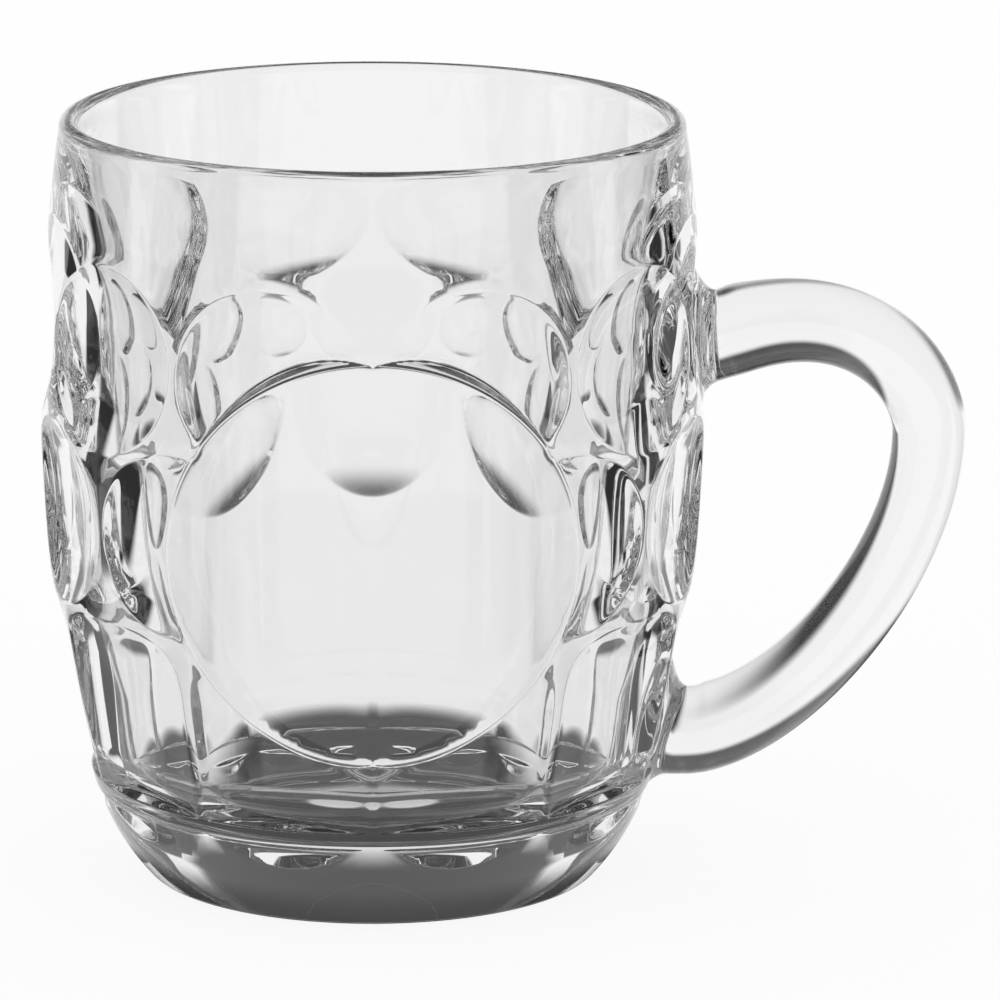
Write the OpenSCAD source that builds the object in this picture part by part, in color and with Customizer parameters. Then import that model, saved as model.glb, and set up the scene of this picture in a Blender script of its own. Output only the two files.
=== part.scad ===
// Half-pint beer mug in thick clear pressed glass: a barrel with rows of round thumb dimples,
// a smooth round panel at the front, and a solid glass handle stuck on at the side.
// Lengths are in millimetres. The mug stands on z = 0, its axis is the Z axis,
// the handle reaches along +X and the round panel faces along -Y.

/* [Barrel] */
// Height from the base to the top of the lip
mug_h = 103; // [100:0.5:112]
// Radius of the barrel at its widest ring
belly_r = 44.4; // [42:0.1:48]
// Height of the widest ring
belly_z = 62; // [58:0.5:66]
// Radius of the long curve from the widest ring up to the lip
upper_curve_r = 289; // [240:1:400]
// Radius of the long curve from the widest ring down to the heel
lower_curve_r = 181; // [160:1:240]
// Height where the lower curve ends and the heel turns under
heel_z = 13.4; // [12:0.1:14]
// Radius of the curve that turns the heel under to the base
heel_curve_r = 32; // [28:0.5:38]

/* [Inside] */
// Thickness of the solid glass under the drink
floor_t = 12; // [10:0.5:16]
// Thickness of the wall at the widest ring, between dimples
wall_t = 7.3; // [6.6:0.1:8.5]
// Angle at which the inside wall widens upwards, in degrees
inside_draft = 2.6; // [1:0.1:3.5]
// Radius of the rounded corner between the floor and the inside wall
floor_corner_r = 8.5; // [5:0.5:12]
// Distance from the top of the lip down to where the inside wall starts to turn towards the lip
shoulder_drop = 25; // [24:0.5:32]
// Height over which the wall thins to the lip
shoulder_h = 22; // [16:0.5:23]
// Thickness of the lip
lip_t = 2.6; // [2:0.1:4]

/* [Dimples] */
// Number of dimples in a full ring
ring_count = 10; // [10:2:12]
// Height of the middle of the upper row
upper_row_z = 75.2; // [74:0.1:78]
// Height of the middle of the middle row
middle_row_z = 52.3; // [50:0.1:54]
// Depth of a dimple at its middle
dimple_depth = 3; // [1.5:0.1:3]
// Radius of a dimple's floor, measured round the mug
dimple_across_r = 78; // [60:1:120]
// Radius of a dimple's floor, measured up the mug
dimple_up_r = 29; // [20:0.5:32]

/* [Lower arches] */
// Height of the level line on which the arches stand
arch_foot_z = 14.6; // [14.4:0.1:18]
// Height at which an arch starts to round over towards its top
arch_z = 27.5; // [25:0.1:30]
// Depth of an arch
arch_depth = 1.95; // [1:0.05:1.95]
// Radius of an arch's floor, measured round the mug
arch_across_r = 190; // [150:5:300]
// Radius of the rounded top of an arch, measured up the mug
arch_up_r = 62; // [40:1:66]

/* [Heel scallops] */
// Height of the flat top edge of the scallops under the plain band
scallop_top_z = 12.2; // [10:0.1:13]
// Distance from the mug's axis to the flat of a scallop
scallop_flat_r = 36.05; // [35.4:0.05:36.6]

/* [Front panel] */
// Radius of the smooth round panel
panel_r = 26.6; // [22:0.1:28]
// Height of the panel's middle
panel_z = 51.5; // [48:0.1:54]
// Angle at which the panel's edge leans out as it goes deeper, in degrees
panel_draft = 6; // [2:0.5:10]

/* [Handle] */
// Height of the middle of the upper joint
upper_joint_z = 73.1; // [68:0.1:78]
// Height of the middle of the lower joint
lower_joint_z = 19; // [17:0.1:24]
// Distance that the barrel's lugs stand out to meet the handle
lug_reach = 2; // [1:0.1:4]
// Radius of a lug at the face that the handle is stuck to
lug_r = 6.3; // [5.5:0.1:7]
// Radius of the flare that blends a lug into the barrel
lug_flare_r = 4.4; // [3:0.1:5]
// Distance from the widest ring out to the handle's centre line at its farthest
grip_reach = 30.3; // [26:0.1:38]
// Height of the handle's farthest point
grip_peak_z = 60.2; // [54:0.1:62]
// Thickness of the handle at its middle, seen from the side
grip_t = 9.74; // [8:0.01:12]
// Width of the handle at its middle, seen from the end
grip_w = 12.6; // [9:0.1:15]
// Diameter of the handle where it is stuck to the lugs
grip_end_d = 12; // [10:0.1:12.6]
// Length over which the handle's centre line leads out of the upper joint
upper_lead = 20.7; // [17:0.1:24]
// Rise of the centre line as it leaves the upper joint, in degrees
upper_rise = 19.6; // [10:0.1:25]
// Length over which the centre line comes up to its farthest point
peak_lead_up = 7; // [6:0.1:10]
// Length over which the centre line drops from its farthest point
peak_lead_down = 19.5; // [14:0.1:24]
// Length over which the centre line leads out of the lower joint
lower_lead = 13.4; // [9:0.1:18]
// Rise of the centre line as it leaves the lower joint, in degrees
lower_rise = -2; // [-10:0.1:8]

/* [Hidden] */

// Overrun of every cutter past the surface that it cuts
overrun = 2;
// Distance past the widest ring that holds the whole barrel, for slicing and cutting tools
clear_r = belly_r + 4 * overrun;
// Depth by which the lugs are rooted in the wall, from the barrel's own surface
lug_root = (wall_t + dimple_depth) / 2;
// Angle between neighbouring dimples of a row
pitch = 360 / ring_count;
// Width of the narrowest ridge that a cutter can leave, and the half width that this gives a dimple
least_ridge = 0.2;
cell_r = (norm([belly_r * sin(pitch / 2), upper_row_z - middle_row_z]) - least_ridge) / 2;

// Fineness of the long curves, of the cutters, of the inside shoulder and of the handle
fine = 360;
cutter_fine = 96;
shoulder_steps = 12;
grip_sides = 24;
grip_steps = 16;

// Angle on the lower curve where the heel starts, and the middle of the heel's curve
heel_angle = asin((belly_z - heel_z) / lower_curve_r);
heel_r = belly_r - lower_curve_r * (1 - cos(heel_angle));
heel_mid = [heel_r - heel_curve_r * cos(heel_angle), heel_z + heel_curve_r * sin(heel_angle)];

// The lip is a half round on top of the wall
lip_z = mug_h - lip_t / 2;
lip_outer_r = barrel_at(lip_z);
lip_inner_r = lip_outer_r - lip_t;

// The inside wall and its shoulder
shoulder_z = mug_h - shoulder_drop;
shoulder_w = lip_inner_r - inside_at(shoulder_z);
corner_z = floor_t + floor_corner_r * (1 - sin(inside_draft));
corner_mid_r = inside_at(corner_z) - floor_corner_r * cos(inside_draft);

// Radius of the uncut barrel at a height above the heel
function barrel_at(z) = z > belly_z
    ? belly_r - upper_curve_r + sqrt(pow(upper_curve_r, 2) - pow(z - belly_z, 2))
    : belly_r - lower_curve_r + sqrt(pow(lower_curve_r, 2) - pow(z - belly_z, 2));

// Angle by which the barrel's wall leans outwards at a height
function lean_at(z) = asin((belly_z - z) / (z > belly_z ? upper_curve_r : lower_curve_r));

// Radius of the straight inside wall at a height
function inside_at(z) = belly_r - wall_t + (z - belly_z) * tan(inside_draft);

// Point at share t of the inside shoulder, which leaves the wall and meets the lip smoothly
function shoulder_at(t) = [
    inside_at(shoulder_z) + shoulder_w * (3 * pow(t, 2) - 2 * pow(t, 3)),
    shoulder_z + shoulder_h * t
];

// Middle of a joint face, in the plane of the handle, and the direction that it faces
function joint_mid(z) = [barrel_at(z), z] + lug_reach * joint_way(z);
function joint_way(z) = [cos(lean_at(z)), -sin(lean_at(z))];

// Point and direction at share t of a smooth curve with the control points p
function curve_point(p, t) = pow(1 - t, 3) * p[0] + 3 * pow(1 - t, 2) * t * p[1]
    + 3 * (1 - t) * pow(t, 2) * p[2] + pow(t, 3) * p[3];
function curve_way(p, t) = let (way = pow(1 - t, 2) * (p[1] - p[0])
    + 2 * (1 - t) * t * (p[2] - p[1]) + pow(t, 2) * (p[3] - p[2])) way / norm(way);

// The handle's centre line: an upper and a lower curve that meet at the farthest point
peak = [belly_r + grip_reach, grip_peak_z];
upper_start = joint_mid(upper_joint_z);
lower_end = joint_mid(lower_joint_z);
upper_curve = [
    upper_start,
    upper_start + upper_lead * [cos(upper_rise), sin(upper_rise)],
    peak + [0, peak_lead_up],
    peak
];
lower_curve = [
    peak,
    peak - [0, peak_lead_down],
    lower_end + lower_lead * [cos(lower_rise), sin(lower_rise)],
    lower_end
];
line_points = concat(
    [upper_start - 2 * overrun * curve_way(upper_curve, 0)],
    [for (i = [0 : grip_steps]) curve_point(upper_curve, i / grip_steps)],
    [for (i = [1 : grip_steps]) curve_point(lower_curve, i / grip_steps)],
    [lower_end + 2 * overrun * curve_way(lower_curve, 1)]
);
line_ways = concat(
    [curve_way(upper_curve, 0)],
    [for (i = [0 : grip_steps]) curve_way(upper_curve, i / grip_steps)],
    [for (i = [1 : grip_steps]) curve_way(lower_curve, i / grip_steps)],
    [curve_way(lower_curve, 1)]
);
// Share by which a station has the end's size rather than the middle's
end_shares = [for (i = [-1 : 2 * grip_steps + 1]) min(1, pow(i / grip_steps - 1, 2))];

// The part of a flat shape between two heights
module slice(low, high) {
    intersection() {
        children();
        translate([0, low]) square([clear_r, high - low]);
    }
}

module outer_section() {
    slice(0, heel_z) translate(heel_mid) circle(r = heel_curve_r, $fn = fine);
    slice(heel_z, belly_z) translate([belly_r - lower_curve_r, belly_z])
        circle(r = lower_curve_r, $fn = fine);
    slice(belly_z, lip_z) translate([belly_r - upper_curve_r, belly_z])
        circle(r = upper_curve_r, $fn = fine);
    slice(lip_z, mug_h) translate([lip_outer_r - lip_t / 2, lip_z])
        circle(r = lip_t / 2, $fn = cutter_fine);
}

module inner_section() {
    slice(floor_t, corner_z) {
        square([corner_mid_r, corner_z]);
        translate([corner_mid_r, floor_t + floor_corner_r]) circle(r = floor_corner_r, $fn = fine);
    }
    polygon([
        [0, corner_z],
        [inside_at(corner_z), corner_z],
        [inside_at(shoulder_z), shoulder_z],
        [0, shoulder_z]
    ]);
    polygon(concat(
        [for (i = [0 : shoulder_steps]) shoulder_at(i / shoulder_steps)],
        [[0, shoulder_z + shoulder_h], [0, shoulder_z]]
    ));
    translate([0, shoulder_z + shoulder_h]) square([lip_inner_r, mug_h - shoulder_z]);
}

// Cutter of one round dimple, at an angle from the front and a height
module dimple(angle, z) {
    rotate([0, 0, angle - 90]) translate([barrel_at(z) - dimple_depth, 0, z]) rotate([0, lean_at(z), 0])
        intersection() {
            translate([dimple_across_r, 0, 0]) rotate_extrude($fn = cutter_fine)
                translate([dimple_across_r - dimple_up_r, 0]) circle(r = dimple_up_r, $fn = cutter_fine);
            translate([-overrun, 0, 0]) rotate([0, 90, 0])
                cylinder(r = cell_r, h = 2 * dimple_depth + 2 * overrun, $fn = cutter_fine);
        }
}

// Cutter of one arch, which stands level on its line
module arch(angle) {
    drop = arch_z - arch_foot_z;
    arch_lean = atan((barrel_at(arch_z) - barrel_at(arch_foot_z)) / drop);
    // Half width of the arch's own sector, at the outside of the cutter
    half_w = clear_r * tan(pitch / 2 - asin(least_ridge / 2 / belly_r));
    rotate([0, 0, angle - 90]) intersection() {
        translate([barrel_at(arch_z) - arch_depth, 0, arch_z]) rotate([0, arch_lean, 0])
            translate([arch_across_r, 0, 0]) rotate_extrude($fn = fine) {
                intersection() {
                    translate([arch_across_r - arch_up_r, 0]) circle(r = arch_up_r, $fn = fine);
                    translate([arch_across_r - arch_up_r, 0]) square(arch_up_r);
                }
                translate([arch_across_r - arch_up_r, -2 * drop]) square([arch_up_r, 2 * drop]);
            }
        translate([0, 0, arch_foot_z]) linear_extrude(middle_row_z - arch_foot_z)
            polygon([[0, 0], [clear_r, -half_w], [clear_r, half_w]]);
    }
}

// The heel below the plain band is cut to a flat-sided ring
module scallops() {
    difference() {
        cylinder(r = clear_r, h = scallop_top_z, $fn = cutter_fine);
        translate([0, 0, -overrun]) rotate([0, 0, pitch / 2 * (ring_count / 2 % 2)]) cylinder(
            r = scallop_flat_r / cos(pitch / 2),
            h = scallop_top_z + 2 * overrun,
            $fn = ring_count
        );
    }
}

// Cutters at the front stop at the round panel's edge
module clear_of_panel() {
    difference() {
        children();
        translate([0, -clear_r, panel_z]) rotate([-90, 0, 0]) cylinder(
            r1 = panel_r - (clear_r - belly_r) * tan(panel_draft),
            r2 = panel_r + (2 * belly_r - clear_r) * tan(panel_draft),
            h = belly_r,
            $fn = fine
        );
    }
}

// One lug of the barrel, seated on the wall and rooted inside it
module lug(z) {
    mid = joint_mid(z);
    way = 90 + lean_at(z);
    length = lug_reach + lug_root;
    translate([mid[0], 0, mid[1]]) rotate([0, way, 0]) rotate_extrude($fn = cutter_fine) difference() {
        translate([0, -length]) square([lug_r + lug_flare_r, length]);
        translate([lug_r + lug_flare_r, 0]) circle(r = lug_flare_r, $fn = cutter_fine);
    }
}

// What is cut off an end of the handle, up to its joint face
module end_waste(z) {
    mid = joint_mid(z);
    depth = 4 * overrun;
    translate([mid[0], 0, mid[1]]) rotate([0, 90 + lean_at(z), 0])
        translate([-2 * lug_r, -2 * lug_r, -depth]) cube([4 * lug_r, 4 * lug_r, depth]);
}

// The solid handle along its centre line, before its ends are cut to the joint faces
module handle_bar() {
    count = len(line_points);
    points = [for (i = [0 : count - 1]) for (k = [0 : grip_sides - 1])
        let (
            angle = 360 * k / grip_sides,
            thick = grip_t + (grip_end_d - grip_t) * end_shares[i],
            wide = grip_w + (grip_end_d - grip_w) * end_shares[i],
            out = thick / 2 * sin(angle)
        ) [
            line_points[i][0] - line_ways[i][1] * out,
            wide / 2 * cos(angle),
            line_points[i][1] + line_ways[i][0] * out
        ]
    ];
    sides = [for (i = [0 : count - 2]) for (k = [0 : grip_sides - 1])
        let (next = (k + 1) % grip_sides, a = i * grip_sides, b = a + grip_sides)
        each [[a + k, a + next, b + next], [a + k, b + next, b + k]]
    ];
    caps = [
        [for (k = [grip_sides - 1 : -1 : 0]) k],
        [for (k = [0 : grip_sides - 1]) (count - 1) * grip_sides + k]
    ];
    polyhedron(points = points, faces = concat(sides, caps));
}

// The plain pressed shape before its dimples
module blank() {
    rotate_extrude($fn = fine) difference() {
        outer_section();
        inner_section();
    }
}

module with_upper_row() {
    difference() {
        blank();
        for (k = [1 : ring_count - 2]) dimple((k + 0.5) * pitch, upper_row_z);
        for (side = [-1, 1]) clear_of_panel() dimple(side * pitch / 2, upper_row_z);
    }
}

module with_middle_row() {
    difference() {
        with_upper_row();
        for (k = [2 : ring_count - 2]) dimple(k * pitch, middle_row_z);
        for (side = [-1, 1]) clear_of_panel() dimple(side * pitch, middle_row_z);
    }
}

module with_arches() {
    difference() {
        with_middle_row();
        for (k = [1 : ring_count - 2]) arch((k + 0.5) * pitch);
        for (side = [-1, 1]) clear_of_panel() arch(side * pitch / 2);
    }
}

module body() {
    color("whitesmoke", 0.4) union() {
        difference() {
            with_arches();
            scallops();
        }
        lug(upper_joint_z);
        lug(lower_joint_z);
    }
}

module handle() {
    color("gainsboro", 0.4) difference() {
        handle_bar();
        end_waste(upper_joint_z);
        end_waste(lower_joint_z);
    }
}

body();
handle();
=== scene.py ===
"""Looks of a half-pint beer mug in thick clear pressed glass, with its stuck-on glass handle."""

import math

import bpy
import numpy as np
from mathutils import Matrix, Vector
from mathutils.geometry import delaunay_2d_cdt
from mathutils.kdtree import KDTree


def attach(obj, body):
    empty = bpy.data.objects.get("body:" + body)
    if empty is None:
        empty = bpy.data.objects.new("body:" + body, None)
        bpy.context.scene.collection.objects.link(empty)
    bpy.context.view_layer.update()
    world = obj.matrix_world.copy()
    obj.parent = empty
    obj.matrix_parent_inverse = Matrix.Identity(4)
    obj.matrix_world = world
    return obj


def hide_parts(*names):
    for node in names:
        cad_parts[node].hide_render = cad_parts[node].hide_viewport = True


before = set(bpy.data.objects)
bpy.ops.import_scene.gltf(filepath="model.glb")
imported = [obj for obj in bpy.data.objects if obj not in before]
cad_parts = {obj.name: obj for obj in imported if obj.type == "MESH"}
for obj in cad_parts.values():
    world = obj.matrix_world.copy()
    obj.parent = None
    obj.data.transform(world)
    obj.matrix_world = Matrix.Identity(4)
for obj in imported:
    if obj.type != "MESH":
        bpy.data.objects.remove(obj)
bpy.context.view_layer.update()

# Lengths are in millimetres and angles in degrees. An angle round the mug is counted from the front,
# which faces -Y, towards the handle, which is at +X.
MM = 0.001

# Barrel
MUG_H = 103.0
BELLY_R = 44.4
BELLY_Z = 62.0
UPPER_CURVE_R = 289.0
LOWER_CURVE_R = 181.0
HEEL_Z = 13.4
HEEL_CURVE_R = 32.0
BASE_EDGE_R = 1.6
PUNT_R = 24.0
PUNT_RISE = 0.7

# Inside
FLOOR_T = 12.0
WALL_T = 7.3
INSIDE_DRAFT = 2.6
FLOOR_CORNER_R = 8.5
SHOULDER_DROP = 25.0
SHOULDER_H = 22.0
LIP_T = 2.6

# Dimples, with half sizes round the mug in degrees
RING_COUNT = 10
PITCH = 360 / RING_COUNT
UPPER_ROW_Z = 75.2
MIDDLE_ROW_Z = 52.3
DIMPLE_HALF_W = 17.2
DIMPLE_HALF_H = 12.5
DIMPLE_DEPTH = 3.0
DIMPLE_BOWL_SHARE = 0.65
DISH_POWER = 4
ARCH_FOOT_Z = 14.6
ARCH_Z = 28.0
ARCH_TOP_H = 12.0
ARCH_HALF_W = 17.1
ARCH_DEPTH = 2.1
ARCH_BOWL_SHARE = 0.75
ARCH_POWER = 3.6
SCALLOP_TOP_Z = 12.2
SCALLOP_FLAT_R = 36.05
PANEL_R = 27.1
PANEL_Z = 51.5
# Steepness of the walls at the panel's edge, the arches' foot and the scallops' top
WALL_STEEP = 2.8
# How softly the fire-polished edges turn: between dimples, round the panel, and at the foot of a wall
EDGE_SOFT = 0.2
PANEL_SOFT = 0.55
FOOT_SOFT = 0.3

# Handle and the lugs that it is stuck to
UPPER_JOINT_Z = 73.1
LOWER_JOINT_Z = 19.0
LUG_REACH = 2.0
JOINT_R = 6.15
LUG_FOOT_R = 8.4
LUG_FILL_FROM = 7.0
LUG_FILL_TO = 13.0
GRIP_REACH = 30.22
GRIP_PEAK_Z = 60.2
GRIP_T = 9.74
GRIP_W = 12.6
UPPER_LEAD = 20.65
UPPER_RISE = 19.6
PEAK_LEAD_UP = 7.0
PEAK_LEAD_DOWN = 19.5
LOWER_LEAD = 13.4
LOWER_RISE = -2.0
JOINT_SETTLE = 4.0
FOOT_PULL = 3.2
JOINT_PULL = 3.0

# Mesh fineness: points are dense across every edge and wide apart on the plain surface
SEGMENTS = 240
GRIP_SIDES = 80
GRIP_STATIONS = 75
FLARE_STEPS = 14
SKIN_TOP_Z = 91.0
SKIN_LOW_Z = 6.5
SKIN_EASE = 1.6
MERGE_GAP = 0.006
NORMAL_STEP = 0.01
FILL_STEP = 1.15
EDGE_STEP = 0.5
SEAM_STEP = 0.8
SEAM_ROOM = 0.24
BAND_ROOM = 0.1
ROW_ROOM = 0.05
PANEL_ROOM = 0.1
EDGE_ROOM = 0.12
FILL_ROOM = 0.62 * FILL_STEP
PANEL_STEPS = 220
ARCH_STEPS = 170
SCALLOP_STEPS = 44
LIP_STEPS = 17
SHOULDER_STEPS = 9
WALL_POINTS = 10
CORNER_STEPS = 16
FLOOR_POINTS = 8
BASE_EDGE_STEPS = 10
EDGE_OFFSETS = (-1.45, -0.95, -0.6, -0.35, -0.16, 0.0, 0.16, 0.35)
SCALLOP_OFFSETS = (-0.35, -0.16, 0.0, 0.16, 0.35)
WALL_OFFSETS = (-0.55, -0.3, -0.12, 0.0, 0.12, 0.26, 0.42, 0.6, 0.8, 1.05, 1.35, 1.75)

HEEL_ANGLE = math.asin((BELLY_Z - HEEL_Z) / LOWER_CURVE_R)
HEEL_MID_R = BELLY_R - LOWER_CURVE_R * (1 - math.cos(HEEL_ANGLE)) - HEEL_CURVE_R * math.cos(HEEL_ANGLE)
HEEL_MID_Z = HEEL_Z + HEEL_CURVE_R * math.sin(HEEL_ANGLE)
ARC = math.radians(BELLY_R)


def barrel(z):
    """Radius of the plain barrel at a height."""
    upper = BELLY_R - UPPER_CURVE_R + np.sqrt(UPPER_CURVE_R ** 2 - (z - BELLY_Z) ** 2)
    lower = BELLY_R - LOWER_CURVE_R + np.sqrt(LOWER_CURVE_R ** 2 - (z - BELLY_Z) ** 2)
    heel = HEEL_MID_R + np.sqrt(np.maximum(HEEL_CURVE_R ** 2 - (z - HEEL_MID_Z) ** 2, 0))
    return np.where(z > BELLY_Z, upper, np.where(z > HEEL_Z, lower, heel))


def soft_over(value, soft):
    """The value where it is above zero, and zero below, with a rounded corner."""
    return 0.5 * (value + np.sqrt(value ** 2 + soft ** 2))


def soft_least(a, b, soft):
    """The smaller of two values, with a rounded corner."""
    return 0.5 * (a + b - np.sqrt((a - b) ** 2 + soft ** 2))


def smooth_step(value, low, high):
    share = np.clip((value - low) / (high - low), 0, 1)
    return share * share * (3 - 2 * share)


def dish(t, depth, bowl_share):
    """Depth of a dish whose edge is at t = 1: flat in the middle, and steeper near the edge."""
    return depth * (bowl_share * (1 - t ** 2) + (1 - bowl_share) * (1 - t ** DISH_POWER))


def from_middle(angle, first):
    """Angle from the nearest copy of what repeats round the mug, counted from one of them."""
    return (angle - first + PITCH / 2) % PITCH - PITCH / 2


def outside_panel(angle, z):
    """Distance outside the edge of the round panel, which is a circle seen from the front."""
    x = barrel(z) * np.sin(np.radians(angle))
    facing = np.cos(np.radians(angle)) > 0
    return np.where(facing, np.hypot(x, z - PANEL_Z) - PANEL_R, 2 * BELLY_R)


def from_joint(angle, z, joint_z):
    return np.hypot((angle - 90) * ARC, z - joint_z)


def cut_depth(angle, z):
    """Depth of the pressed pattern under the plain barrel."""
    panel = outside_panel(angle, z)
    soft = EDGE_SOFT + (PANEL_SOFT - EDGE_SOFT) * np.exp(-panel ** 2)
    panel_wall = WALL_STEEP * panel
    foot_wall = WALL_STEEP * (z - ARCH_FOOT_Z)
    top_wall = WALL_STEEP * (SCALLOP_TOP_Z - z)
    total = 0
    for turn in (-PITCH, 0, PITCH):
        near = from_middle(angle, PITCH / 2) + turn
        between = from_middle(angle, 0) + turn
        upper = np.hypot(near / DIMPLE_HALF_W, (z - UPPER_ROW_Z) / DIMPLE_HALF_H)
        middle = np.hypot(between / DIMPLE_HALF_W, (z - MIDDLE_ROW_Z) / DIMPLE_HALF_H)
        rise = np.maximum(z - ARCH_Z, 0) / ARCH_TOP_H
        arch = (np.abs(near / ARCH_HALF_W) ** ARCH_POWER + rise ** ARCH_POWER) ** (1 / ARCH_POWER)
        for t in (upper, middle):
            bowl = dish(t, DIMPLE_DEPTH, DIMPLE_BOWL_SHARE)
            total = total + soft_over(soft_least(bowl, panel_wall, FOOT_SOFT), soft)
        arch_cut = soft_least(dish(arch, ARCH_DEPTH, ARCH_BOWL_SHARE), foot_wall, FOOT_SOFT)
        total = total + soft_over(soft_least(arch_cut, panel_wall, FOOT_SOFT), soft)
    flat = SCALLOP_FLAT_R / np.cos(np.radians(from_middle(angle, PITCH / 2)))
    scallop = soft_least(barrel(z) - flat, top_wall, FOOT_SOFT)
    return total + soft_over(scallop, EDGE_SOFT)


def skin_radius(angle, z):
    """Radius of the pressed outside, where the pattern dies away under the lugs and at the turned parts."""
    keep = smooth_step(z, SKIN_LOW_Z, SKIN_LOW_Z + SKIN_EASE)
    keep = keep * smooth_step(SKIN_TOP_Z - z, 0, SKIN_EASE)
    for joint_z in (UPPER_JOINT_Z, LOWER_JOINT_Z):
        keep = keep * smooth_step(from_joint(angle, z, joint_z), LUG_FILL_FROM, LUG_FILL_TO)
    return barrel(z) - cut_depth(angle, z) * keep


def at_angle(radius, angle, z):
    turn = np.radians(angle)
    return np.stack([radius * np.sin(turn), -radius * np.cos(turn), z + 0 * turn], -1)


def skin_point(angle, z):
    return at_angle(skin_radius(angle, z), angle, z)


def skin_normal(angle, z):
    """Outward direction of the pressed outside, from its slopes over a very short step."""
    across = skin_point(angle + NORMAL_STEP, z) - skin_point(angle - NORMAL_STEP, z)
    up = skin_point(angle, z + NORMAL_STEP) - skin_point(angle, z - NORMAL_STEP)
    return unit(np.cross(across, up))


def unit(vectors):
    return vectors / np.linalg.norm(vectors, axis=-1, keepdims=True)


class Shell:
    """A mesh being put together from patches, each with exact normals."""

    def __init__(self):
        self.points = []
        self.normals = []
        self.faces = []
        self.inner_faces = []
        self.count = 0

    def add(self, points, normals, faces, inner=False):
        """Adds a patch, with its faces turned to the side that its normals point to."""
        faces = np.asarray(faces)
        a, b, c = (points[faces[:, k]] for k in range(3))
        if np.sum(np.cross(b - a, c - a) * normals[faces[:, 0]]) < 0:
            faces = faces[:, ::-1]
        (self.inner_faces if inner else self.faces).append(faces + self.count)
        self.points.append(points)
        self.normals.append(normals)
        self.count += len(points)

    def merged(self):
        """All patches as one mesh: points that meet at a seam become one."""
        points = np.concatenate(self.points)
        normals = np.concatenate(self.normals)
        tree = KDTree(len(points))
        for i, point in enumerate(points):
            tree.insert(point, i)
        tree.balance()
        nearest = [min(found[1] for found in tree.find_range(point, MERGE_GAP)) for point in points]
        first, where = np.unique(nearest, return_inverse=True)
        faces, inner = [], []
        for groups, out in ((self.faces, faces), (self.inner_faces, inner)):
            for group in groups:
                for face in where[group].tolist():
                    corners = list(dict.fromkeys(face))
                    if len(corners) > 2:
                        out.append(corners)
        return points[first], normals[first], faces, inner


def grid_faces(rows, columns):
    """Faces of rows of points that close round."""
    faces = []
    for i in range(rows - 1):
        for k in range(columns):
            a, b = i * columns + k, i * columns + (k + 1) % columns
            faces.append((a, b, b + columns, a + columns))
    return faces


def make_piece(name, shell, surface, inner_surface):
    """The Blender object of a finished shell, with its exact normals."""
    points, normals, faces, inner = shell.merged()
    mesh = bpy.data.meshes.new(name)
    mesh.from_pydata((points * MM).tolist(), [], faces + inner)
    mesh.validate()
    mesh.materials.append(surface)
    mesh.materials.append(inner_surface)
    mesh.polygons.foreach_set("material_index", [0] * len(faces) + [1] * len(inner))
    mesh.polygons.foreach_set("use_smooth", [True] * len(mesh.polygons))
    mesh.normals_split_custom_set_from_vertices(normals.tolist())
    piece = bpy.data.objects.new(name, mesh)
    bpy.context.scene.collection.objects.link(piece)
    return piece


# Pressed outside: where its mesh has its points

def lay(angle, z):
    return np.stack(np.broadcast_arrays(np.asarray(angle) * ARC, z), -1)


def edge_rings(curve, steps, offsets, keep):
    """Points in rows along an edge, at offsets across it. The edge is a function of a share of its way."""
    share = np.linspace(0, 1, steps + 1)
    line = curve(share)
    way = np.gradient(line, axis=0)
    out = unit(np.stack([way[:, 1], -way[:, 0]], -1))
    rings = [line + offset * out for offset in offsets]
    points = np.concatenate(rings)
    return points[keep(points[:, 0] / ARC, points[:, 1])]


def ellipse(mid, mid_z, start, end):
    """Edge of a round dimple, run so that its outside is on the positive side."""
    def curve(share):
        turn = np.radians(start + (end - start) * share)
        return lay(mid + DIMPLE_HALF_W * np.cos(turn), mid_z + DIMPLE_HALF_H * np.sin(turn))
    return curve


def arch_edge(mid, start, end):
    """Edge of an arch: up one side, over the top and down the other."""
    side = ARCH_Z - ARCH_FOOT_Z
    over = 2 * ARCH_TOP_H + 2 * ARCH_HALF_W * ARC
    whole = 2 * side + over

    def curve(share):
        run = (start + (end - start) * share) * whole
        turn = np.pi * np.clip((run - side) / over, 0, 1)
        c, s = np.cos(turn), np.sin(turn)
        power = 2 / ARCH_POWER
        angle = ARCH_HALF_W * np.sign(c) * np.abs(c) ** power
        z = ARCH_Z + ARCH_TOP_H * np.abs(s) ** power
        z = z - np.maximum(side - run, 0) - np.maximum(run - side - over, 0)
        return lay(mid + angle, z)
    return curve


def scallop_edge(mid, start, end):
    """Lower edge of a scallop, where its flat runs out on the heel."""
    def curve(share):
        angle = start + (end - start) * share
        flat = SCALLOP_FLAT_R / np.cos(np.radians(angle))
        z = HEEL_MID_Z - np.sqrt(HEEL_CURVE_R ** 2 - (flat - HEEL_MID_R) ** 2)
        return lay(mid + angle, z)
    return curve


def panel_rings():
    """Points round the right half of the panel's edge."""
    turn = np.radians(np.linspace(0, 180, PANEL_STEPS))
    rings = []
    for offset in WALL_OFFSETS:
        x = (PANEL_R + offset) * np.sin(turn)
        z = PANEL_Z + (PANEL_R + offset) * np.cos(turn)
        rings.append(lay(np.degrees(np.arcsin(x / barrel(z))), z))
    return np.concatenate(rings)


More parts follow.
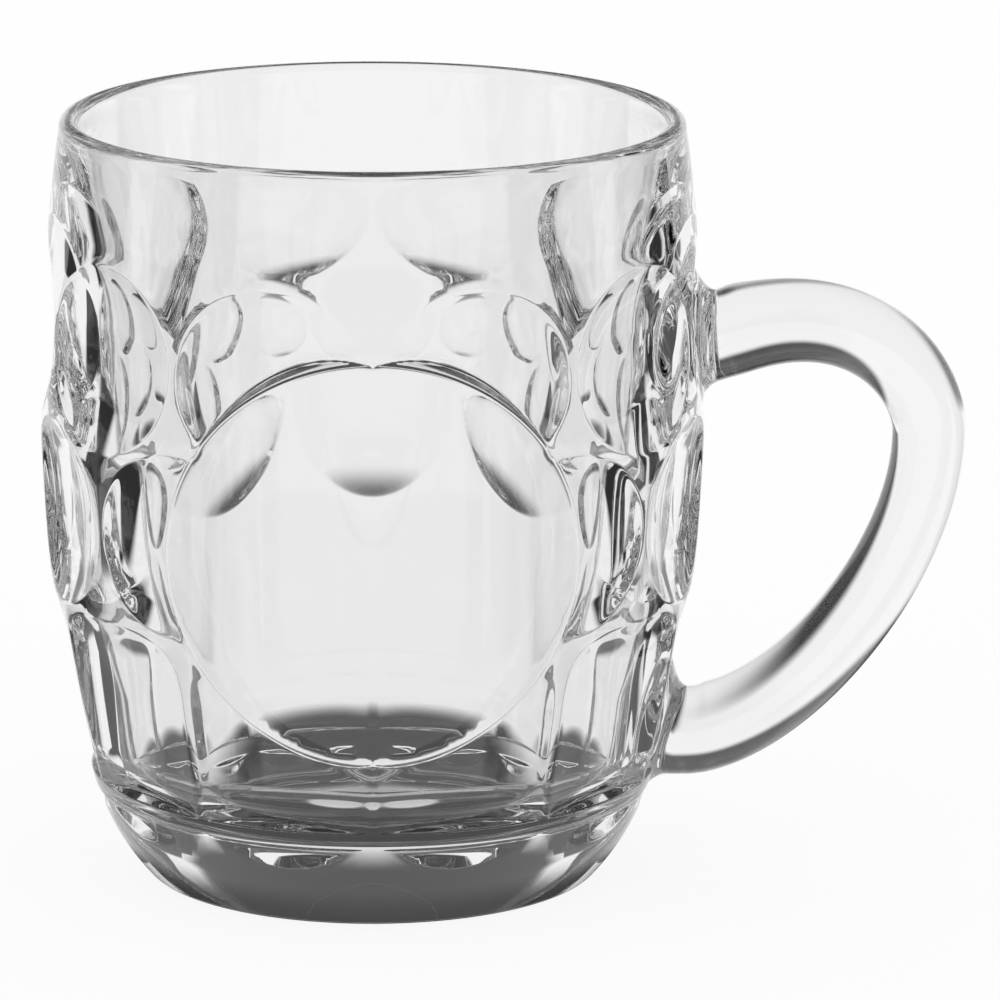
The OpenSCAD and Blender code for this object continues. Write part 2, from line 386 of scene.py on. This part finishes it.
def thinned(points, taken, room):
    """Those points that are no closer than their room to the taken ones or to each other."""
    cells = {}
    for x, y in taken:
        cells.setdefault((int(x // room), int(y // room)), []).append((x, y))
    kept = []
    for x, y in points:
        i, j = int(x // room), int(y // room)
        near = (p for a in (-1, 0, 1) for b in (-1, 0, 1) for p in cells.get((i + a, j + b), ()))
        if all((x - p[0]) ** 2 + (y - p[1]) ** 2 >= room * room for p in near):
            kept.append((x, y))
            cells.setdefault((i, j), []).append((x, y))
    return np.array(kept).reshape(-1, 2)


BAND_ROWS = sorted(
    [ARCH_FOOT_Z + x for x in (-0.75, -0.35, -0.14, 0.0, 0.12, 0.26, 0.42, 0.6, 0.8, 1.05)]
    + [SCALLOP_TOP_Z + x for x in (0.75, 0.35, 0.14, 0.0, -0.12, -0.26, -0.42, -0.65, -0.95)]
)


def seam_heights(dimple_z, arch_here):
    """Heights of the points on a seam line that runs up through the middles of a row of dimples."""
    marks = list(BAND_ROWS)
    for side in (-1, 1):
        marks += [dimple_z + side * (DIMPLE_HALF_H + x) for x in EDGE_OFFSETS]
    if arch_here:
        marks += [ARCH_Z + ARCH_TOP_H + x for x in EDGE_OFFSETS]
        low = float(scallop_edge(0, 0, 0)(np.zeros(1))[0, 1])
        marks += [low + x for x in SCALLOP_OFFSETS]
    marks = sorted([SKIN_LOW_Z, SKIN_TOP_Z] + marks)
    heights = [marks[0]]
    for a, b in zip(marks, marks[1:]):
        parts = max(1, round((b - a) / SEAM_STEP))
        heights += [a + (b - a) * (i + 1) / parts for i in range(parts)]
    return np.array(heights)


MIDDLE_SEAM = seam_heights(MIDDLE_ROW_Z, False)
UPPER_SEAM = seam_heights(UPPER_ROW_Z, True)


def band_columns(low, high):
    """Places of the points along the level rows, dense across the sides of each arch."""
    marks = {low, high}
    for k in range(-1, 3):
        mid = (k + 0.5) * PITCH
        for side in (-1, 1):
            marks |= {mid + side * (ARCH_HALF_W + x / ARC) for x in EDGE_OFFSETS}
    marks = sorted(m for m in marks if low <= m <= high)
    places = [marks[0]]
    for a, b in zip(marks, marks[1:]):
        parts = max(1, round((b - a) * ARC / EDGE_STEP))
        places += [a + (b - a) * (i + 1) / parts for i in range(parts)]
    return np.array(places)


def patch(low, high, low_seam, high_seam, has_panel=False, has_lugs=False):
    """Points and triangles of the outside between two angles, as angles and heights."""
    band_low, band_high = BAND_ROWS[0], BAND_ROWS[-1]

    def inside(angle, z):
        keep = ((angle - low) * ARC > SEAM_ROOM) & ((high - angle) * ARC > SEAM_ROOM)
        keep &= (z > SKIN_LOW_Z + SEAM_ROOM) & (z < SKIN_TOP_Z - SEAM_ROOM)
        if has_lugs:
            for joint_z in (UPPER_JOINT_Z, LOWER_JOINT_Z):
                keep &= from_joint(angle, z, joint_z) > LUG_FOOT_R + SEAM_ROOM
        return keep

    def off_band(angle, z):
        keep = inside(angle, z) & ((z < band_low - BAND_ROOM) | (z > band_high + BAND_ROOM))
        if has_panel:
            panel = outside_panel(angle, z)
            keep &= (panel > WALL_OFFSETS[-1] + PANEL_ROOM)
        return keep

    columns = np.linspace(low, high, round((high - low) * SEGMENTS / 360) + 1)
    frame_points = [lay(columns, SKIN_LOW_Z + 0 * columns), lay(columns, SKIN_TOP_Z + 0 * columns)]
    holes = []
    for angle, heights in ((low, low_seam), (high, high_seam)):
        open_here = np.full(len(heights), True)
        if has_lugs:
            for joint_z in (UPPER_JOINT_Z, LOWER_JOINT_Z):
                open_here &= from_joint(angle, heights, joint_z) > LUG_FOOT_R + SEAM_ROOM
        frame_points.append(lay(angle + 0 * heights[open_here], heights[open_here]))
    if has_lugs:
        for joint_z in (UPPER_JOINT_Z, LOWER_JOINT_Z):
            turn = np.radians(np.linspace(90, 270, GRIP_SIDES // 2 + 1))
            ring = lay(90 + LUG_FOOT_R * np.cos(turn) / ARC, joint_z + LUG_FOOT_R * np.sin(turn))
            holes.append(ring)
            frame_points.append(ring)
    points = np.unique(np.round(np.concatenate(frame_points), 7), axis=0)

    level = [lay(band_columns(low, high), z) for z in BAND_ROWS]
    groups = [(ROW_ROOM, np.concatenate(level), inside)]
    if has_panel:
        groups.append((PANEL_ROOM, panel_rings(), inside))
    first = math.ceil(low / (PITCH / 2))
    last = math.floor(high / (PITCH / 2))
    rings = []
    for k in range(first, last + 1):
        mid = k * PITCH / 2
        row_z = UPPER_ROW_Z if k % 2 else MIDDLE_ROW_Z
        length = math.pi * (DIMPLE_HALF_W * ARC + DIMPLE_HALF_H)
        steps = round(length / EDGE_STEP)
        rings.append(edge_rings(ellipse(mid, row_z, 0, 360), steps, EDGE_OFFSETS, off_band))
        if k % 2:
            rings.append(edge_rings(arch_edge(mid, 0, 1), ARCH_STEPS, EDGE_OFFSETS, off_band))
            wide = math.degrees(math.acos(SCALLOP_FLAT_R / float(barrel(np.array(SCALLOP_TOP_Z)))))
            edge = scallop_edge(mid, -wide, wide)
            rings.append(edge_rings(edge, SCALLOP_STEPS, SCALLOP_OFFSETS, off_band))
    groups.append((EDGE_ROOM, np.concatenate(rings), off_band))
    across = np.arange(low * ARC, high * ARC, FILL_STEP)
    rows = np.arange(SKIN_LOW_Z, SKIN_TOP_Z, FILL_STEP * math.sqrt(3) / 2)
    fill = []
    for i, z in enumerate(rows):
        fill.append(np.stack([across + FILL_STEP / 2 * (i % 2), np.full(len(across), z)], -1))
    groups.append((FILL_ROOM, np.concatenate(fill), inside))
    for room, group, keep in groups:
        group = group[keep(group[:, 0] / ARC, group[:, 1])]
        points = np.concatenate([points, thinned(group, points, room)])

    edges = []
    for ring in holes:
        order = [int(np.argmin(np.hypot(*(points - p).T))) for p in ring]
        edges += list(zip(order, order[1:]))
    out = delaunay_2d_cdt([Vector(p) for p in points], edges, [], 0, 1e-7)
    flat = np.array([tuple(p) for p in out[0]])
    faces = np.array(out[2])
    centre = flat[faces].mean(axis=1)
    if has_lugs:
        solid = np.full(len(faces), True)
        for joint_z in (UPPER_JOINT_Z, LOWER_JOINT_Z):
            away = from_joint(centre[:, 0] / ARC, centre[:, 1], joint_z)
            solid &= away > LUG_FOOT_R * math.cos(math.pi / GRIP_SIDES)
        faces = faces[solid]
    return flat[:, 0] / ARC, flat[:, 1], faces


def add_patch(shell, angle, z, faces, mirror_at=None, turn=0):
    """A patch of the outside, turned round the mug or mirrored about an angle."""
    if mirror_at is not None:
        angle = 2 * mirror_at - angle
    angle = angle + turn
    shell.add(skin_point(angle, z), skin_normal(angle, z), faces)


def add_skin(shell):
    """The whole pressed outside: front with its panel, the sector of the handle, and the rest."""
    half = PITCH / 2
    front = patch(0, 3 * half, MIDDLE_SEAM, UPPER_SEAM, has_panel=True)
    add_patch(shell, *front)
    add_patch(shell, *front, mirror_at=0)
    lugs = patch(4 * half, 5 * half, MIDDLE_SEAM, UPPER_SEAM, has_lugs=True)
    add_patch(shell, *lugs)
    add_patch(shell, *lugs, mirror_at=5 * half)
    # The rest goes round from the front's edge, and leaves out the sector of the handle
    plain = patch(0, half, MIDDLE_SEAM, UPPER_SEAM)
    for k in range(2, RING_COUNT - 1):
        if k != 2:
            add_patch(shell, *plain, turn=k * PITCH)
        if k != 3:
            add_patch(shell, *plain, mirror_at=0, turn=k * PITCH)


# Turned parts: the lip, the inside and the base

def arc_points(mid, radius, start, end, steps):
    turn = np.radians(np.linspace(start, end, steps + 1))
    way = np.stack([np.cos(turn), np.sin(turn)], -1)
    return mid + radius * way, way


def turned_profile():
    """Outline of the lip and the plain inside, from the top of the pressed outside to the floor."""
    lip_z = MUG_H - LIP_T / 2
    lip_r = float(barrel(np.array(lip_z)))
    side_z = np.linspace(SKIN_TOP_Z, lip_z, 9)[:-1]
    side = np.stack([barrel(side_z), side_z], -1)
    side_way = np.stack([UPPER_CURVE_R + barrel(side_z) - BELLY_R, side_z - BELLY_Z], -1)
    parts = [(side, unit(side_way))]
    parts.append(arc_points(np.array([lip_r - LIP_T / 2, lip_z]), LIP_T / 2, 0, 180, LIP_STEPS))

    def wall_r(z):
        return BELLY_R - WALL_T + (z - BELLY_Z) * math.tan(math.radians(INSIDE_DRAFT))

    shoulder_z = MUG_H - SHOULDER_DROP
    lip_in = lip_r - LIP_T
    width = lip_in - wall_r(shoulder_z)
    turn = math.degrees(2 * math.atan(width / SHOULDER_H))
    curve_r = SHOULDER_H / (2 * math.sin(math.radians(turn)))
    top_mid = np.array([lip_in - curve_r, shoulder_z + SHOULDER_H])
    top, top_way = arc_points(top_mid, curve_r, 0, -turn, SHOULDER_STEPS)
    low_mid = np.array([wall_r(shoulder_z) + curve_r, shoulder_z])
    low, low_way = arc_points(low_mid, curve_r, 180 - turn, 180, SHOULDER_STEPS)
    parts += [(top, -top_way), (low[1:], low_way[1:])]
    corner_z = FLOOR_T + FLOOR_CORNER_R * (1 - math.sin(math.radians(INSIDE_DRAFT)))
    corner_mid = wall_r(corner_z) - FLOOR_CORNER_R * math.cos(math.radians(INSIDE_DRAFT))
    wall_z = np.linspace(shoulder_z - 1, corner_z + 1, WALL_POINTS)
    in_way = (-math.cos(math.radians(INSIDE_DRAFT)), math.sin(math.radians(INSIDE_DRAFT)))
    parts.append((np.stack([wall_r(wall_z), wall_z], -1), np.tile(in_way, (WALL_POINTS, 1))))
    round_mid = np.array([corner_mid, FLOOR_T + FLOOR_CORNER_R])
    corner, way = arc_points(round_mid, FLOOR_CORNER_R, -INSIDE_DRAFT, -90, CORNER_STEPS)
    parts.append((corner, -way))
    floor_r = np.linspace(corner_mid, 0, FLOOR_POINTS)[1:]
    parts.append((np.stack([floor_r, FLOOR_T + 0 * floor_r], -1), np.tile((0.0, 1.0), (len(floor_r), 1))))
    return join_outline(parts)


def base_profile():
    """Outline of the heel and the underside, from the bottom of the pressed outside to the middle."""
    heel_z = np.linspace(SKIN_LOW_Z, BASE_EDGE_R, 7)
    heel = np.stack([barrel(heel_z), heel_z], -1)
    heel_way = heel - (HEEL_MID_R, HEEL_MID_Z)
    # The edge under the heel is a small round between the heel's curve and the resting face
    inner = HEEL_CURVE_R - BASE_EDGE_R
    mid = np.array([HEEL_MID_R + math.sqrt(inner ** 2 - (HEEL_MID_Z - BASE_EDGE_R) ** 2), BASE_EDGE_R])
    start = math.degrees(math.atan2(mid[1] - HEEL_MID_Z, mid[0] - HEEL_MID_R))
    heel_keep = heel_z > mid[1] + BASE_EDGE_R * math.sin(math.radians(start)) + 0.2
    parts = [(heel[heel_keep], unit(heel_way)[heel_keep])]
    parts.append(arc_points(mid, BASE_EDGE_R, start, -90, BASE_EDGE_STEPS))
    under_r = np.concatenate([np.linspace(mid[0], PUNT_R, 4)[1:], np.linspace(PUNT_R, 0, 26)[1:]])
    share = under_r / PUNT_R
    rise = np.where(share < 1, PUNT_RISE * (1 - share ** 2) ** 2, 0)
    slope = np.where(share < 1, -4 * PUNT_RISE * share * (1 - share ** 2) / PUNT_R, 0)
    parts.append((np.stack([under_r, rise], -1), unit(np.stack([slope, -1 + 0 * slope], -1))))
    return join_outline(parts)


def join_outline(parts):
    return np.concatenate([p for p, _ in parts]), np.concatenate([w for _, w in parts])


def add_turned(shell, profile):
    """A turned surface round the mug's axis."""
    outline, ways = profile
    angles = np.arange(SEGMENTS) * 360 / SEGMENTS
    points = at_angle(outline[:, :1], angles, outline[:, 1:]).reshape(-1, 3)
    normals = at_angle(ways[:, :1], angles, ways[:, 1:]).reshape(-1, 3)
    shell.add(points, normals, grid_faces(len(outline), SEGMENTS))


# Handle and lugs: one smooth loft from the wall out along the handle and back to the wall

def joint_frame(joint_z):
    """Middle of a joint, and the direction that it faces, in the plane of the handle."""
    curve_r = UPPER_CURVE_R if joint_z > BELLY_Z else LOWER_CURVE_R
    lean = math.asin((BELLY_Z - joint_z) / curve_r)
    way = np.array([math.cos(lean), -math.sin(lean)])
    return np.array([float(barrel(np.array(joint_z))), joint_z]) + LUG_REACH * way, way


def rise_way(rise):
    return np.array([math.cos(math.radians(rise)), math.sin(math.radians(rise))])


def grip_line():
    """Points and directions along the handle's centre line, from the upper to the lower joint."""
    upper, _ = joint_frame(UPPER_JOINT_Z)
    lower, _ = joint_frame(LOWER_JOINT_Z)
    peak = np.array([BELLY_R + GRIP_REACH, GRIP_PEAK_Z])
    first = (upper, upper + UPPER_LEAD * rise_way(UPPER_RISE), peak + (0, PEAK_LEAD_UP), peak)
    second = (peak, peak - (0, PEAK_LEAD_DOWN), lower + LOWER_LEAD * rise_way(LOWER_RISE), lower)
    t = np.linspace(0, 1, GRIP_STATIONS + 1)[:, None]
    points, ways = [], []
    for a, b, c, d in (first, second):
        points.append((1 - t) ** 3 * a + 3 * (1 - t) ** 2 * t * b + 3 * (1 - t) * t ** 2 * c + t ** 3 * d)
        ways.append((1 - t) ** 2 * (b - a) + 2 * (1 - t) * t * (c - b) + t ** 2 * (d - c))
    line = np.concatenate([points[0], points[1][1:]])
    way = unit(np.concatenate([ways[0], ways[1][1:]]))
    return line, way


def grip_rows():
    """Rings of points along the handle, which start and end in the joints' own planes."""
    line, way = grip_line()
    run = np.concatenate([[0], np.cumsum(np.linalg.norm(np.diff(line, axis=0), axis=1))])
    face = way.copy()
    for joint_z, sign, distance in ((UPPER_JOINT_Z, 1, run), (LOWER_JOINT_Z, -1, run[-1] - run)):
        _, joint_way = joint_frame(joint_z)
        share = np.exp(-(distance / JOINT_SETTLE) ** 2)[:, None]
        face = face * (1 - share) + sign * joint_way * share
    face = unit(face)
    out = np.stack([-face[:, 1], face[:, 0]], -1)
    slant = np.sum(face * way, axis=1)
    middle_share = (2 * run / run[-1] - 1) ** 2
    upper_share = np.exp(-(run / JOINT_SETTLE) ** 2)
    lower_share = np.exp(-((run[-1] - run) / JOINT_SETTLE) ** 2)
    end_share = np.maximum(upper_share, lower_share)
    thick = GRIP_T + (2 * JOINT_R - GRIP_T) * middle_share
    wide = GRIP_W + (2 * JOINT_R - GRIP_W) * middle_share
    thick = (thick / slant) * (1 - end_share) + 2 * JOINT_R * end_share
    turn = np.radians(np.arange(GRIP_SIDES) * 360 / GRIP_SIDES)
    flat = line[:, None] + out[:, None] * (thick[:, None] / 2 * np.sin(turn))[..., None]
    across = wide[:, None] / 2 * np.cos(turn)
    return np.stack([flat[..., 0], across, flat[..., 1]], -1)


def flare_rows(joint_z, ring, lead):
    """Rings from the pressed wall up to the joint, along smooth curves."""
    turn = np.radians(np.arange(GRIP_SIDES) * 360 / GRIP_SIDES)

    def wall(radius):
        return skin_point(90 + radius * np.cos(turn) / ARC, joint_z + radius * np.sin(turn))

    start = wall(LUG_FOOT_R)
    inward = unit(wall(LUG_FOOT_R - 0.05) - start)
    outward = np.array([lead[0], 0, lead[1]])
    t = np.linspace(0, 1, FLARE_STEPS + 1)[:-1, None, None]
    return (
        (2 * t ** 3 - 3 * t ** 2 + 1) * start + (t ** 3 - 2 * t ** 2 + t) * FOOT_PULL * inward
        + (3 * t ** 2 - 2 * t ** 3) * ring + (t ** 3 - t ** 2) * JOINT_PULL * outward
    )


def loft():
    """The whole loft with its normals, and the rows where the handle starts and ends."""
    rows = grip_rows()
    # At the lower joint the sections have turned over, so the ring runs the other way round
    flip = -np.arange(GRIP_SIDES) % GRIP_SIDES
    upper = flare_rows(UPPER_JOINT_Z, rows[0], rise_way(UPPER_RISE))
    lower = flare_rows(LOWER_JOINT_Z, rows[-1][flip], rise_way(LOWER_RISE))[:, flip]
    points = np.concatenate([upper, rows, lower[::-1]])
    along = np.gradient(points, axis=0)
    around = np.roll(points, -1, axis=1) - np.roll(points, 1, axis=1)
    normals = unit(np.cross(around, along))
    for row, joint_z, order in ((0, UPPER_JOINT_Z, slice(None)), (-1, LOWER_JOINT_Z, flip)):
        turn = np.radians(np.arange(GRIP_SIDES) * 360 / GRIP_SIDES)
        angle = 90 + LUG_FOOT_R * np.cos(turn) / ARC
        normals[row] = skin_normal(angle, joint_z + LUG_FOOT_R * np.sin(turn))[order]
    return points, normals, FLARE_STEPS, FLARE_STEPS + len(rows) - 1


def add_loft(shell, points, normals):
    shell.add(points.reshape(-1, 3), normals.reshape(-1, 3), grid_faces(len(points), GRIP_SIDES))


def add_joint_cap(shell, ring, outward):
    """The face inside the glass where handle and lug are one, which closes each of the two meshes."""
    points = np.concatenate([ring, ring.mean(axis=0, keepdims=True)])
    normals = np.tile(outward, (len(points), 1))
    faces = [(k, (k + 1) % GRIP_SIDES, GRIP_SIDES) for k in range(GRIP_SIDES)]
    shell.add(points, normals, faces, inner=True)


# Materials

GLASS_COLOUR = (0.92, 0.92, 0.92, 1)
GLASS_IOR = 1.51
WAVE_SCALE = 38.0
WAVE_STRENGTH = 0.02
WAVE_HEIGHT = 0.001


class Wire:
    """A shader socket that takes part in Python expressions on values."""

    def __init__(self, tree, socket):
        self.tree = tree
        self.socket = socket

    def math(self, operation, *values):
        node = self.tree.nodes.new("ShaderNodeMath")
        node.operation = operation
        for entry, value in zip(node.inputs, (self,) + values):
            plug(self.tree, entry, value)
        return Wire(self.tree, node.outputs[0])

    def reflected(self, operation, value):
        node = self.tree.nodes.new("ShaderNodeMath")
        node.operation = operation
        plug(self.tree, node.inputs[0], value)
        plug(self.tree, node.inputs[1], self)
        return Wire(self.tree, node.outputs[0])

    def __add__(self, other):
        return self.math("ADD", other)

    def __sub__(self, other):
        return self.math("SUBTRACT", other)

    def __mul__(self, other):
        return self.math("MULTIPLY", other)

    def __truediv__(self, other):
        return self.math("DIVIDE", other)

    def __rmul__(self, other):
        return self.math("MULTIPLY", other)

    def __rsub__(self, other):
        return self.reflected("SUBTRACT", other)

    def step(self, low, high):
        """Runs from 0 to 1 as the value goes from low to high, with a smooth start and end."""
        node = self.tree.nodes.new("ShaderNodeMapRange")
        node.interpolation_type = "SMOOTHSTEP"
        plug(self.tree, node.inputs["Value"], self)
        node.inputs["From Min"].default_value = low
        node.inputs["From Max"].default_value = high
        return Wire(self.tree, node.outputs[0])


def plug(tree, entry, value):
    if isinstance(value, Wire):
        tree.links.new(value.socket, entry)
    elif value is not None:
        entry.default_value = value


def node(tree, kind, settings=None, output=0, **inputs):
    """Any shader node: its settings first, then the values or links of its sockets."""
    made = tree.nodes.new("ShaderNode" + kind)
    for name, value in (settings or {}).items():
        setattr(made, name, value)
    for name, value in inputs.items():
        plug(tree, made.inputs[name.replace("_", " ")], value)
    return Wire(tree, made.outputs[output])


def new_tree(owner):
    owner.use_nodes = True
    tree = owner.node_tree
    tree.nodes.clear()
    return tree


def glass_material(name):
    material = bpy.data.materials.new(name)
    tree = new_tree(material)
    place = node(tree, "TexCoord", output="Object")
    wave = node(tree, "TexNoise", Vector=place, Scale=WAVE_SCALE, Detail=1.0)
    ripple = node(tree, "Bump", Height=wave, Strength=WAVE_STRENGTH, Distance=WAVE_HEIGHT)
    shader = tree.nodes.new("ShaderNodeBsdfPrincipled")
    shader.inputs["Base Color"].default_value = GLASS_COLOUR
    shader.inputs["Roughness"].default_value = 0.0
    shader.inputs["IOR"].default_value = GLASS_IOR
    shader.inputs["Transmission Weight"].default_value = 1.0
    plug(tree, shader.inputs["Normal"], ripple)
    out = tree.nodes.new("ShaderNodeOutputMaterial")
    tree.links.new(shader.outputs[0], out.inputs["Surface"])
    return material


def fused_material():
    """The joint's inner face, where glass runs on into glass, so nothing is seen of it."""
    material = bpy.data.materials.new("fused_joint")
    tree = new_tree(material)
    shader = tree.nodes.new("ShaderNodeBsdfPrincipled")
    shader.inputs["Alpha"].default_value = 0.0
    out = tree.nodes.new("ShaderNodeOutputMaterial")
    tree.links.new(shader.outputs[0], out.inputs["Surface"])
    return material


# Pieces

def build_mug():
    body_glass = glass_material("pressed_glass")
    handle_glass = glass_material("drawn_glass")
    fused = fused_material()
    points, normals, start, end = loft()
    body = Shell()
    add_skin(body)
    add_turned(body, turned_profile())
    add_turned(body, base_profile())
    add_loft(body, points[:start + 1], normals[:start + 1])
    add_loft(body, points[end:], normals[end:])
    handle = Shell()
    add_loft(handle, points[start:end + 1], normals[start:end + 1])
    for row, joint_z in ((start, UPPER_JOINT_Z), (end, LOWER_JOINT_Z)):
        _, way = joint_frame(joint_z)
        outward = np.array([way[0], 0, way[1]])
        add_joint_cap(body, points[row], outward)
        add_joint_cap(handle, points[row], -outward)
    pieces = []
    for name, shell, glass in (("body", body, body_glass), ("handle", handle, handle_glass)):
        piece = make_piece("glass_" + name, shell, glass, fused)
        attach(piece, "root")
        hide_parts(name)
        pieces.append(piece)
    return pieces


# Camera, floor and light

CAMERA_AWAY = 976.4
CAMERA_HEIGHT = 282.9
CAMERA_DOWN = 13.39
CAMERA_RIGHT = 1.002
CAMERA_ROLL = 0.232
CAMERA_LENS = 269.05

# The studio: distances in metres from the mug's middle, and light as shares of white
FLOOR_SIZE = 60
FLOOR_GAP = 0.0001
FLOOR_DIFFUSE_SHARE = 0.1
FLOOR_WHITE = 0.9
CARD_GAP = 0.00004
CARD_SIZE = 26
CANOPY_R = 13
# Glow of the dark cards, and of the painted shadow under and behind the mug on the table card
DARK_LIGHT = 0.03
# Painted contact shadow: a dark disc on the table card under the mug, with a clear middle
PAINTED_CONTACT_SHADOW_R = 0.034
PAINTED_CONTACT_SHADOW_SOFT = 0.0025
PAINTED_CONTACT_SHADOW_HOLE_R = 0.0075
PAINTED_CONTACT_SHADOW_HOLE_SOFT = 0.0015
# Painted shadow: a dark ellipse on the table card close behind the mug
SHADOW_MID = 0.045
SHADOW_HALF_W = 0.042
SHADOW_HALF_L = 0.092
CARD_NEAR_R = 0.07
CARD_SPREAD = 1.15
LANE_SPREAD = 0.1
LANE_HALF_W = 0.02
CARD_SOFT = 0.025
TABLE_LANE_SOFT = 0.015
CANOPY_LANE_SOFT = 0.02
DIM_SKY = 0.06
LIGHT_BOUNCES = 40
# The painted shadow behind the mug fades between these shares of its half sizes, and the canopy at these
# shares of its radius
SHADOW_FADE = (0.55, 1.1)
BACKDROP_FADE = (0.12, 0.24)
DIM_FADE = (0.4, 0.6)


def add_camera():
    data = bpy.data.cameras.new("camera")
    data.lens = CAMERA_LENS
    data.sensor_width = 36
    data.clip_end = FLOOR_SIZE
    camera = bpy.data.objects.new("camera", data)
    turn = Matrix.Rotation(math.radians(-CAMERA_RIGHT), 4, "Z")
    down = Matrix.Rotation(math.radians(90 - CAMERA_DOWN), 4, "X")
    roll = Matrix.Rotation(math.radians(CAMERA_ROLL), 4, "Z")
    camera.matrix_world = Matrix.Translation((0, -CAMERA_AWAY * MM, CAMERA_HEIGHT * MM)) @ turn @ down @ roll
    bpy.context.scene.collection.objects.link(camera)
    bpy.context.scene.camera = camera


def parts_of(tree, vector):
    split = tree.nodes.new("ShaderNodeSeparateXYZ")
    tree.links.new(vector, split.inputs[0])
    return [Wire(tree, part) for part in split.outputs]


def emission(tree, strength):
    glow = tree.nodes.new("ShaderNodeEmission")
    glow.inputs["Strength"].default_value = strength
    return glow.outputs[0]


def mixed(tree, share, first, second):
    """Gives the material its surface: the first shader, with a share of the second."""
    mix = tree.nodes.new("ShaderNodeMixShader")
    plug(tree, mix.inputs[0], share)
    tree.links.new(first, mix.inputs[1])
    tree.links.new(second, mix.inputs[2])
    out = tree.nodes.new("ShaderNodeOutputMaterial")
    tree.links.new(mix.outputs[0], out.inputs["Surface"])


def add_floor():
    """A plain white floor, which is the same for the camera and for the glass."""
    bpy.ops.mesh.primitive_plane_add(size=FLOOR_SIZE, location=(0, 0, -FLOOR_GAP))
    floor = bpy.context.object
    floor.name = "floor"
    material = bpy.data.materials.new("white_floor")
    tree = new_tree(material)
    diffuse = tree.nodes.new("ShaderNodeBsdfDiffuse")
    diffuse.inputs["Color"].default_value = (FLOOR_WHITE, FLOOR_WHITE, FLOOR_WHITE, 1)
    mixed(tree, FLOOR_DIFFUSE_SHARE, emission(tree, 1), diffuse.outputs[0])
    floor.data.materials.append(material)


def set_world():
    """A plain white world, which is the same for the camera and for the glass."""
    world = bpy.data.worlds.new("studio")
    bpy.context.scene.world = world
    tree = new_tree(world)
    background = tree.nodes.new("ShaderNodeBackground")
    out = tree.nodes.new("ShaderNodeOutputWorld")
    background.inputs["Color"].default_value = (1, 1, 1, 1)
    tree.links.new(background.outputs[0], out.inputs["Surface"])


def finish_card(card, name, clear_of):
    """A dark studio card, see-through where its clear share is 1, that stays out of the camera's picture;
    the table card also carries painted shadow under and close behind the mug.
    """
    card.name = name
    material = bpy.data.materials.new(name)
    tree = new_tree(material)
    place = parts_of(tree, tree.nodes.new("ShaderNodeNewGeometry").outputs["Position"])
    clear = clear_of(*place)
    mixed(tree, clear, emission(tree, DARK_LIGHT), tree.nodes.new("ShaderNodeBsdfTransparent").outputs[0])
    card.data.materials.append(material)
    card.visible_camera = False
    card.visible_diffuse = False
    card.visible_shadow = False


def diagonal(x, y, lane, soft):
    """1 in the directions of the four cards, which leave the front, back, sides and corners clear."""
    across = x.math("ABSOLUTE")
    along = y.math("ABSOLUTE")
    off_back = (across - CARD_SPREAD * along).step(-soft, soft)
    off_side = (along - LANE_SPREAD * across - lane).step(-soft, soft)
    return off_back * off_side


def clear_table(x, y, _):
    """Clear of the painted contact shadow under the mug, the painted shadow close behind it, and the cards
    at the diagonals.
    """
    radius = (x * x + y * y).math("SQRT")
    # The painted contact shadow under the mug: middle is its clear centre, and foot is clear of the shadow
    middle = 1 - radius.step(PAINTED_CONTACT_SHADOW_HOLE_R - PAINTED_CONTACT_SHADOW_HOLE_SOFT, PAINTED_CONTACT_SHADOW_HOLE_R + PAINTED_CONTACT_SHADOW_HOLE_SOFT)
    foot = radius.step(PAINTED_CONTACT_SHADOW_R - PAINTED_CONTACT_SHADOW_SOFT, PAINTED_CONTACT_SHADOW_R + PAINTED_CONTACT_SHADOW_SOFT) + middle
    # The painted shadow close behind the mug
    shadow_x = x / SHADOW_HALF_W
    shadow_y = (y - SHADOW_MID) / SHADOW_HALF_L
    beyond_shadow = (shadow_x * shadow_x + shadow_y * shadow_y).math("SQRT").step(*SHADOW_FADE)
    far = radius.step(CARD_NEAR_R - CARD_SOFT, CARD_NEAR_R + CARD_SOFT)
    card = far * diagonal(x, y, LANE_HALF_W, TABLE_LANE_SOFT)
    return foot * (beyond_shadow * (1 - middle) + middle) * (1 - card)


def clear_canopy(x, y, z):
    """Clear low down, dark at the diagonals and above."""
    height = z / CANOPY_R
    low = 1 - height.step(*BACKDROP_FADE)
    dim = 1 - height.step(*DIM_FADE)
    card = diagonal(x / CANOPY_R, y / CANOPY_R, 0, CANOPY_LANE_SOFT)
    return ((1 - DIM_SKY) * low + DIM_SKY * dim) * (1 - card)


def add_cards():
    bpy.ops.mesh.primitive_plane_add(size=CARD_SIZE, location=(0, 0, -CARD_GAP))
    # The table card holds the painted shadow under and close behind the mug, as well as the dark cards at
    # the diagonals
    finish_card(bpy.context.object, "table_card_and_painted_shadow", clear_table)
    bpy.ops.mesh.primitive_uv_sphere_add(segments=96, ring_count=48, radius=CANOPY_R)
    bpy.ops.object.shade_smooth()
    finish_card(bpy.context.object, "canopy_card", clear_canopy)


def set_light_paths():
    """Thick glass passes light many times from wall to wall."""
    cycles = bpy.context.scene.cycles
    cycles.max_bounces = LIGHT_BOUNCES
    cycles.transmission_bounces = LIGHT_BOUNCES
    cycles.glossy_bounces = LIGHT_BOUNCES


bpy.ops.object.select_all(action="DESELECT")
build_mug()
add_camera()
add_floor()
add_cards()
set_world()
set_light_paths()
bpy.context.scene.view_settings.view_transform = "Standard"
